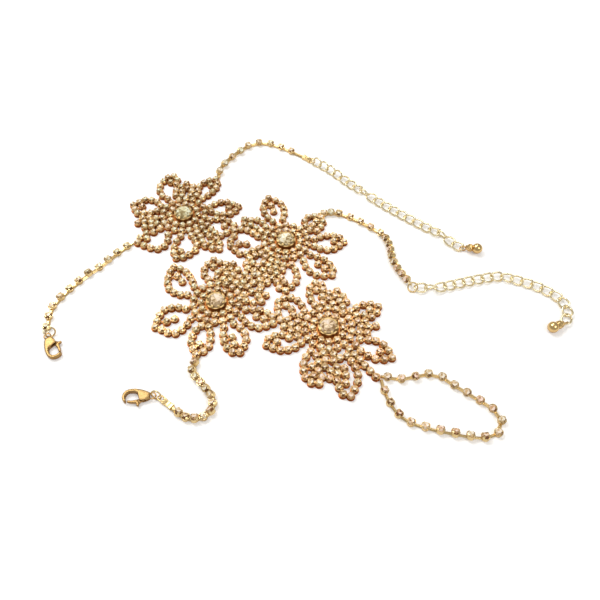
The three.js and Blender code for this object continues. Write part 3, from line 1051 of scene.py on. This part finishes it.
class HANDCHAIN_OT_flowers(bpy.types.Operator):
    """Build the four flowers: small cups with their stones, and the raised centre settings"""

    bl_idname = "handchain.flowers"
    bl_label = "Flowers"
    bl_options = {"REGISTER", "UNDO"}

    def execute(self, context):
        state = context.scene.hand_chain
        for number, name in enumerate(FLOWERS):
            centre = flower_centre(name)
            chance = random.Random(CUP_SEED + number)
            spots = [spot + centre / MM for spot in flower_spots(name)]
            places = [cup_stance(spot, chance) for spot in spots]
            node = f"flower_{name}"
            cups_and_stones(node, places, self.straps(spots), state, SEED_STEP * number, "setting gold")
            self.seats(node, centre, spots, chance, state)
            self.centre(name, centre, CENTRE_STONE_SEED + number, state)
        return {"FINISHED"}

    @staticmethod
    def straps(spots):
        """A strap's place between each two cups that stand side by side."""
        level = UP * STRAP_LEVEL
        return [
            strap_matrix((a + level) * MM, (b + level) * MM, UP)
            for i, a in enumerate(spots)
            for b in spots[:i]
            if LEAST_PITCH < (a - b).length < STRAP_REACH
        ]

    @staticmethod
    def seats(node, centre, spots, chance, state):
        """The discs under the cups, and a wide one under the centre setting."""
        sizes = state.setting_sizes
        seat = seat_template(sizes)
        wide = SEAT_MIDDLE * MM / sizes.seat_radius
        beds = [Matrix.Translation(centre) @ Matrix.Diagonal((wide, wide, 1.1, 1))]
        for spot in spots:
            thick = 1 + chance.uniform(*SEAT_SPREAD)
            beds.append(Matrix.Translation(spot * MM) @ Matrix.Diagonal((1, 1, thick, 1)))
        seats = copies(seat, beds, f"{node}_seats")
        discard(seat)
        finish(seats, gold_material("seat gold", state.metal_look))

    @staticmethod
    def centre(name, centre, seed, state):
        """The raised setting in the middle of a flower, and its large stone."""
        sizes, stones = state.setting_sizes, state.stone_sizes
        setting = centre_setting_template(sizes)
        stone = stone_template(
            CENTRE_STONE_SIDES, stones.centre_radius, sizes.centre_height,
            CENTRE_GIRDLE, CENTRE_CROWN, CENTRE_TABLE,
        )
        place = [Matrix.Translation(centre)]
        rim = copies(setting, place, f"centre_setting_{name}")
        gem = copies(stone, place, f"centre_gem_{name}", glints(seed, stone, CENTRE_FACET_SPREAD))
        discard(setting, stone)
        finish(rim, gold_material("rim gold", state.metal_look))
        pale = stone_material("centre stone", stones.centre_facet_shade, stones.pale, stones.light)
        finish(gem, pale, replaces=[f"centre_stone_{name}"])


class HANDCHAIN_OT_cup_chains(bpy.types.Operator):
    """Build the chains of single cups and the finger loop"""

    bl_idname = "handchain.cup_chains"
    bl_label = "Cup Chains"
    bl_options = {"REGISTER", "UNDO"}

    def execute(self, context):
        state = context.scene.hand_chain
        sizes = state.setting_sizes
        body_middle = (sizes.cup_height + sizes.prong) / 2 / MM
        for number, (name, (points, stretches)) in enumerate(CHAINS.items()):
            route = Route(points)
            chance = random.Random(CHAIN_SEED + number)
            places, joints = [], [self.end_joint(route, -CHAIN_END)]
            for stretch in stretches:
                for i in range(stretch.cups):
                    distance = stretch.first + (stretch.last - stretch.first) * i / (stretch.cups - 1)
                    roll = stretch.roll + chance.uniform(-CHAIN_ROLL_SPREAD, CHAIN_ROLL_SPREAD)
                    place, joint = self.rolled_cup(*route.at(distance), math.radians(roll), body_middle)
                    places.append(place)
                    joints.append(joint)
            last = LOOP_END if name in END_LOOPS else CHAIN_END
            joints.append(self.end_joint(route, route.length + last))
            girth = FINGER_GIRTH if name == "finger_loop" else CHAIN_GIRTH
            straps = [
                strap_matrix(a * MM, b * MM, (up + other).normalized(), girth)
                for (a, up), (b, other) in zip(joints, joints[1:])
            ]
            seed = CHAIN_STONE_SEED + SEED_STEP * number
            cups_and_stones(name, places, straps, state, seed, "chain gold")
            if name in END_LOOPS:
                self.end_loop(name, route, state.metal_look)
        return {"FINISHED"}

    @staticmethod
    def rolled_cup(spot, forward, roll, body_middle):
        """The place of a chain's cup that lies over on its side by roll, and the strap's joint in it."""
        up = Matrix.Rotation(roll, 3, forward) @ UP
        lift = UP * (TIPPED_RADIUS * abs(math.sin(roll)) + 0.02)
        base = spot + lift - Vector((up.x, up.y, 0)) * body_middle
        axes = Matrix((forward, up.cross(forward), up)).transposed().to_4x4()
        place = Matrix.Translation(base * MM) @ axes @ Matrix.Scale(CHAIN_CUP_SCALE, 4)
        return place, (base + up * CHAIN_STRAP_LEVEL, up)

    @staticmethod
    def end_joint(route, distance):
        spot, _ = route.at(distance)
        return spot + UP * CHAIN_END_LEVEL, UP

    @staticmethod
    def end_loop(name, route, look):
        """The small ring that the chain's last strap ends in."""
        loop = link_template(2.6 * MM, 2.4 * MM, 0.5 * MM)
        spot, forward = route.at(route.length)
        place = heading_matrix((spot + UP * LOOP_LEVEL) * MM, heading_of(forward), END_LOOPS[name])
        ring = copies(loop, [place], f"{name}_end_loop")
        discard(loop)
        finish(ring, gold_material("wire gold", look))


# ---- links and rings

# A drop's cap: its first disc, then how far up each step goes and how it spreads. Millimetres.
CAP_SIDES, CAP_RADIUS, CAP_DISC = 16, 1.0, 0.5
CAP_STEPS = ((0.5, 1.5), (1.3, 1.18), (0.3, 0.86), (0.4, 0.8))
CAP_FLUTES = (1.65, 0.1, 0.08)  # the flutes' middle, the metal left round each, and their depth
CAP_START = 1.0
BALL_END = 7.1

FOLD_SIZE = (4.4, 2.6, 1.75)
FOLD_WAIST = (1, 0.82, 0.74)
FOLD_START = (2.2, 0, 0.9)
FOLD_LOOP_START = (5.5, 0, 1.5)

CAST_VOXEL = 0.09 * MM
CAST_ROUNDING = 45  # rounds of smoothing that take the corners off
CAST_DOMING = 160  # rounds of smoothing that only raise the flat faces' middles


def link_rise(look, lean):
    """How high the middle of a link that leans so far is above the floor."""
    half = (look.link_width - look.link_wire) / 2
    return half * abs(math.sin(math.radians(lean))) + look.link_wire / 2 + LINK_CLEARANCE * MM


class HANDCHAIN_OT_extenders(bpy.types.Operator):
    """Build the extender chains' twisted links and the ball drops at their ends"""

    bl_idname = "handchain.extenders"
    bl_label = "Extender Chains"
    bl_options = {"REGISTER", "UNDO"}

    def execute(self, context):
        look = context.scene.hand_chain.metal_look
        template = link_template(look.link_length, look.link_width, look.link_wire)
        twist = math.radians(LINK_TWIST)
        apply_modifier(template, "SIMPLE_DEFORM", deform_method="TWIST", deform_axis="X", angle=twist)
        for name, extender in EXTENDERS.items():
            places = self.link_places(extender, look)
            first = 0
            for number, size in enumerate(extender.groups, 1):
                node = f"{name}_links_{number}"
                links = copies(template, places[first : first + size], f"{node}_wire")
                finish(links, gold_material("wire gold", look), replaces=[node])
                first += size
            last = places[-1] @ Vector((DROP_PITCH * MM, 0, 0))
            self.drop(look, extender, Vector((last.x, last.y, 0)))
        discard(template)
        return {"FINISHED"}

    @staticmethod
    def link_places(extender, look):
        """Each link's place along the chain. A link beside one that stands higher is lifted a little."""
        route = Route(extender.route)
        leans = [extender.leans.get(i, LINK_LEAN) for i in range(sum(extender.groups))]
        rises = [link_rise(look, lean) for lean in leans]
        places = []
        for i, lean in enumerate(leans):
            beside = rises[max(i - 1, 0) : i + 2]
            rise = max(rises[i], LINK_LIFT * MM + sum(beside) / len(beside) / 2)
            spot, forward = route.at(LINK_START + i * LINK_PITCH)
            places.append(heading_matrix(spot * MM + UP * rise, heading_of(forward), lean))
        return places

    @staticmethod
    def drop(look, extender, hang):
        """A ball under a fluted cap, and the loop that it hangs by. It is made along Z and laid down."""
        ball_radius = look.ball_radius
        cap = cylinder(CAP_SIDES, CAP_RADIUS * MM, 0, CAP_DISC * MM)
        edit(cap)
        pick(cap, faces_up)
        for rise, spread in CAP_STEPS:
            raise_faces(rise * MM, spread)
        middle_up, border, depth = CAP_FLUTES
        pick(cap, lambda middle, normal: abs(middle.z - middle_up * MM) < 0.2 * MM and abs(normal.z) < 0.5)
        bpy.ops.mesh.inset(thickness=border * MM, depth=-depth * MM, use_individual=True)
        leave()
        deselect()
        bpy.ops.mesh.primitive_uv_sphere_add(
            segments=28, ring_count=18, radius=ball_radius, location=(0, 0, BALL_END * MM - ball_radius)
        )
        body = joined([cap, made()], "body")
        smooth(body, 40)
        loop = link_template(3.2 * MM, 2.6 * MM, look.ring_wire)
        lie = heading_matrix(hang + UP * (ball_radius + 0.02 * MM), extender.heading)
        along = Matrix.Translation((CAP_START * MM, 0, 0)) @ Matrix.Rotation(math.radians(90), 4, "Y")
        body.data.transform(lie @ along)
        loop.data.transform(heading_matrix(hang + UP * 0.6 * ball_radius, extender.heading, DROP_LEAN))
        whole = joined([body, loop], f"{extender.drop}_ball")
        finish(whole, gold_material("drop gold", look), replaces=[extender.drop])


class HANDCHAIN_OT_rings(bpy.types.Operator):
    """Build the jump rings"""

    bl_idname = "handchain.rings"
    bl_label = "Jump Rings"
    bl_options = {"REGISTER", "UNDO"}

    def execute(self, context):
        look = context.scene.hand_chain.metal_look
        template = link_template(look.ring_size, look.ring_size, look.ring_wire, sides=10)
        for name, ring in JUMP_RINGS.items():
            place = heading_matrix(from_layout(*ring.middle) * MM, ring.heading, ring.roll)
            wire_ring = copies(template, [place], f"{name}_wire")
            finish(wire_ring, gold_material("chain gold", look), replaces=[name])
        discard(template)
        return {"FINISHED"}


class HANDCHAIN_OT_connectors(bpy.types.Operator):
    """Build the folded end pieces with their loops"""

    bl_idname = "handchain.connectors"
    bl_label = "End Connectors"
    bl_options = {"REGISTER", "UNDO"}

    def execute(self, context):
        look = context.scene.hand_chain.metal_look
        for name, crimp in CRIMPS.items():
            fold = self.fold()
            loop = link_template(3.4 * MM, 2.6 * MM, look.ring_wire)
            along = heading_matrix(from_layout(*crimp.start) * MM, crimp.heading)
            fold.data.transform(along @ Matrix.Translation(Vector(FOLD_START) * MM))
            loop.data.transform(along @ heading_matrix(Vector(FOLD_LOOP_START) * MM, 0, crimp.loop_roll))
            whole = joined([fold, loop], f"{name}_fold")
            finish(whole, gold_material("chain gold", look), replaces=[name])
        return {"FINISHED"}

    @staticmethod
    def fold():
        """A short folded tube with a pinched waist and a dent in the waist's top."""
        fold = block(*(side * MM for side in FOLD_SIZE))
        edit(fold)
        bpy.ops.mesh.select_all(action="SELECT")
        bpy.ops.mesh.subdivide(number_cuts=2)
        pick(fold, lambda middle, normal: abs(middle.x) < 1 * MM and abs(normal.x) < 0.5)
        resize(*FOLD_WAIST)
        pick(fold, lambda middle, normal: normal.z > 0.5 and abs(middle.x) < 1 * MM)
        bpy.ops.mesh.inset(thickness=0.2 * MM, depth=-0.15 * MM)
        leave()
        apply_modifier(fold, "BEVEL", width=0.22 * MM, segments=2, limit_method="ANGLE")
        apply_modifier(fold, "SUBSURF", levels=1, render_levels=1)
        smooth(fold, 50)
        return fold


class HANDCHAIN_OT_clasps(bpy.types.Operator):
    """Build the lobster clasps' cast bodies and levers"""

    bl_idname = "handchain.clasps"
    bl_label = "Clasps"
    bl_options = {"REGISTER", "UNDO"}

    def execute(self, context):
        look = context.scene.hand_chain.metal_look
        for side in CLASPS:
            for part, body in (("body", ROOT), ("lever", f"{side}_lever")):
                node = f"{side}_clasp_{part}"
                finish(self.cast(node), gold_material("cast gold", look), body, replaces=[node])
        return {"FINISHED"}

    @staticmethod
    def cast(node):
        """Domes a plain solid's flat faces and rounds its corners, as casting and tumbling do."""
        cast = merged_copy(node, f"{node}_cast")
        apply_modifier(cast, "REMESH", mode="VOXEL", voxel_size=CAST_VOXEL, use_smooth_shade=True)
        apply_modifier(cast, "SMOOTH", factor=0.6, iterations=CAST_ROUNDING)
        apply_modifier(cast, "SMOOTH", factor=0.6, iterations=CAST_DOMING, use_x=False, use_y=False)
        apply_modifier(cast, "DECIMATE", ratio=0.3)
        choose(cast)
        bpy.ops.object.shade_smooth()
        return cast


# ---- the stage

# The lamps: name, place and size in metres, power in watts. Each points at the middle of the floor.
LAMPS = (
    ("key", (-0.35, 0.25, 0.65), 0.35, 3.0),
    ("back", (0.05, 0.46, 0.66), 0.22, 0.9),
    ("front", (0.4, -0.35, 0.6), 0.3, 1.4),
)
SKY_COLOUR, SKY_STRENGTH = (1.0, 0.97, 0.93, 1), 0.4
FLOOR_DEPTH = 0.05 * MM
SENSOR_WIDTH = 36


class HANDCHAIN_OT_stage(bpy.types.Operator):
    """Lay the floor, hang the lights and set the camera"""

    bl_idname = "handchain.stage"
    bl_label = "Stage"
    bl_options = {"REGISTER", "UNDO"}

    def execute(self, context):
        look = context.scene.hand_chain.stage_look
        self.floor(look)
        self.lights()
        self.camera(context, look)
        context.scene.view_settings.view_transform = "Standard"
        return {"FINISHED"}

    @staticmethod
    def floor(look):
        deselect()
        bpy.ops.mesh.primitive_plane_add(size=look.floor_size, location=(0, 0, -FLOOR_DEPTH))
        floor = bpy.context.object
        floor.name = "floor"
        material, tree, shader = new_material("floor", Roughness=0.9, Emission_Strength=1.0)
        shader.inputs["Base Color"].default_value = look.floor_colour
        path = add_node(tree, "LightPath")
        seen = mix(tree, A=(0, 0, 0, 1), B=(0.25, 0.25, 0.25, 1))
        wire(
            tree,
            (path, "Is Camera Ray", seen, "Factor"),
            (seen, "Result", shader, "Emission Color"),
        )
        floor.data.materials.append(material)

    @staticmethod
    def lights():
        world = bpy.data.worlds.new("studio")
        world.use_nodes = True
        background = world.node_tree.nodes["Background"]
        background.inputs["Color"].default_value = SKY_COLOUR
        background.inputs["Strength"].default_value = SKY_STRENGTH
        bpy.context.scene.world = world
        for name, place, size, power in LAMPS:
            light = bpy.data.lights.new(name, "AREA")
            light.size = size
            light.energy = power
            lamp = new_object(name, light)
            lamp.location = place
            lamp.rotation_euler = (-lamp.location).to_track_quat("-Z", "Y").to_euler()

    @staticmethod
    def camera(context, look):
        data = bpy.data.cameras.new("camera")
        data.lens = look.lens
        data.sensor_width = SENSOR_WIDTH
        data.clip_start = 0.01
        camera = new_object("camera", data)
        aim = from_layout(0, 1) * MM
        back = Vector((0, -math.cos(look.elevation), math.sin(look.elevation)))
        camera.location = aim + back * look.distance
        camera.rotation_euler = (-back).to_track_quat("-Z", "Y").to_euler()
        context.scene.camera = camera


# ---- the add-on


class HandChainState(bpy.types.PropertyGroup):
    """All of the hand chain's sizes and looks."""

    setting_sizes: PointerProperty(type=SettingSizes)
    stone_sizes: PointerProperty(type=StoneSizes)
    metal_look: PointerProperty(type=MetalLook)
    stage_look: PointerProperty(type=StageLook)


OPERATORS = (
    HANDCHAIN_OT_stage,
    HANDCHAIN_OT_flowers,
    HANDCHAIN_OT_cup_chains,
    HANDCHAIN_OT_extenders,
    HANDCHAIN_OT_rings,
    HANDCHAIN_OT_connectors,
    HANDCHAIN_OT_clasps,
)


class HANDCHAIN_PT_panel(bpy.types.Panel):
    """The hand chain's operators and sizes"""

    bl_idname = "HANDCHAIN_PT_panel"
    bl_label = "Hand Chain"
    bl_space_type = "VIEW_3D"
    bl_region_type = "UI"
    bl_category = "Hand Chain"

    def draw(self, context):
        column = self.layout.column()
        for operator in OPERATORS:
            column.operator(operator.bl_idname)
        state = context.scene.hand_chain
        for group in (state.setting_sizes, state.stone_sizes, state.metal_look, state.stage_look):
            box = self.layout.box()
            for name in group.__annotations__:
                box.prop(group, name)


CLASSES = (SettingSizes, StoneSizes, MetalLook, StageLook, HandChainState, *OPERATORS, HANDCHAIN_PT_panel)


def register():
    for cls in CLASSES:
        bpy.utils.register_class(cls)
    bpy.types.Scene.hand_chain = PointerProperty(type=HandChainState)


def unregister():
    del bpy.types.Scene.hand_chain
    for cls in reversed(CLASSES):
        bpy.utils.unregister_class(cls)


def main():
    register()
    bpy.ops.handchain.stage()
    bpy.ops.handchain.flowers()
    bpy.ops.handchain.cup_chains()
    bpy.ops.handchain.extenders()
    bpy.ops.handchain.rings()
    bpy.ops.handchain.connectors()
    bpy.ops.handchain.clasps()


if __name__ == "__main__":
    main()
